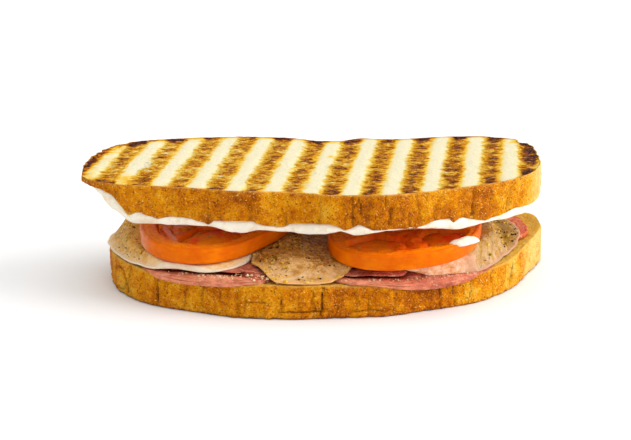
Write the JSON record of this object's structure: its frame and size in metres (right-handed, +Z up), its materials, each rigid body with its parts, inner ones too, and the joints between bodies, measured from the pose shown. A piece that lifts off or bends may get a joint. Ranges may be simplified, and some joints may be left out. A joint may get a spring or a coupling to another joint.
{
  "type": "grilled panini sandwich",
  "caption": "Grilled panini sandwich: striped toasted bread slices round ham, sliced pale meat, tomato and a white spread, to stand on a surface.",
  "frame": {"origin": "middle of the footprint's box, on the surface the sandwich rests on", "axes": "+X along the sandwich's length, to its right as seen from its front; +Y towards its back; +Z up"},
  "size_m": [0.193, 0.0954, 0.0509],
  "materials": {
    "bread": "toasted crust and grilled crumb, matt",
    "ham": "cooked ham, moist satin",
    "pale_meat": "pale sliced meat with herbs, satin",
    "tomato": "wet tomato flesh and skin, glossy",
    "spread": "white creamy spread, soft satin"
  },
  "bodies": {
    "root": {"bread_bottom": "bread", "bread_top": "bread", "ham_left": "ham", "ham_right": "ham", "ham_end": "ham", "pale_left": "pale_meat", "pale_middle": "pale_meat", "pale_right": "pale_meat", "tomato_left": "tomato", "tomato_right": "tomato", "spread_white": "spread"}
  },
  "joints": []
}
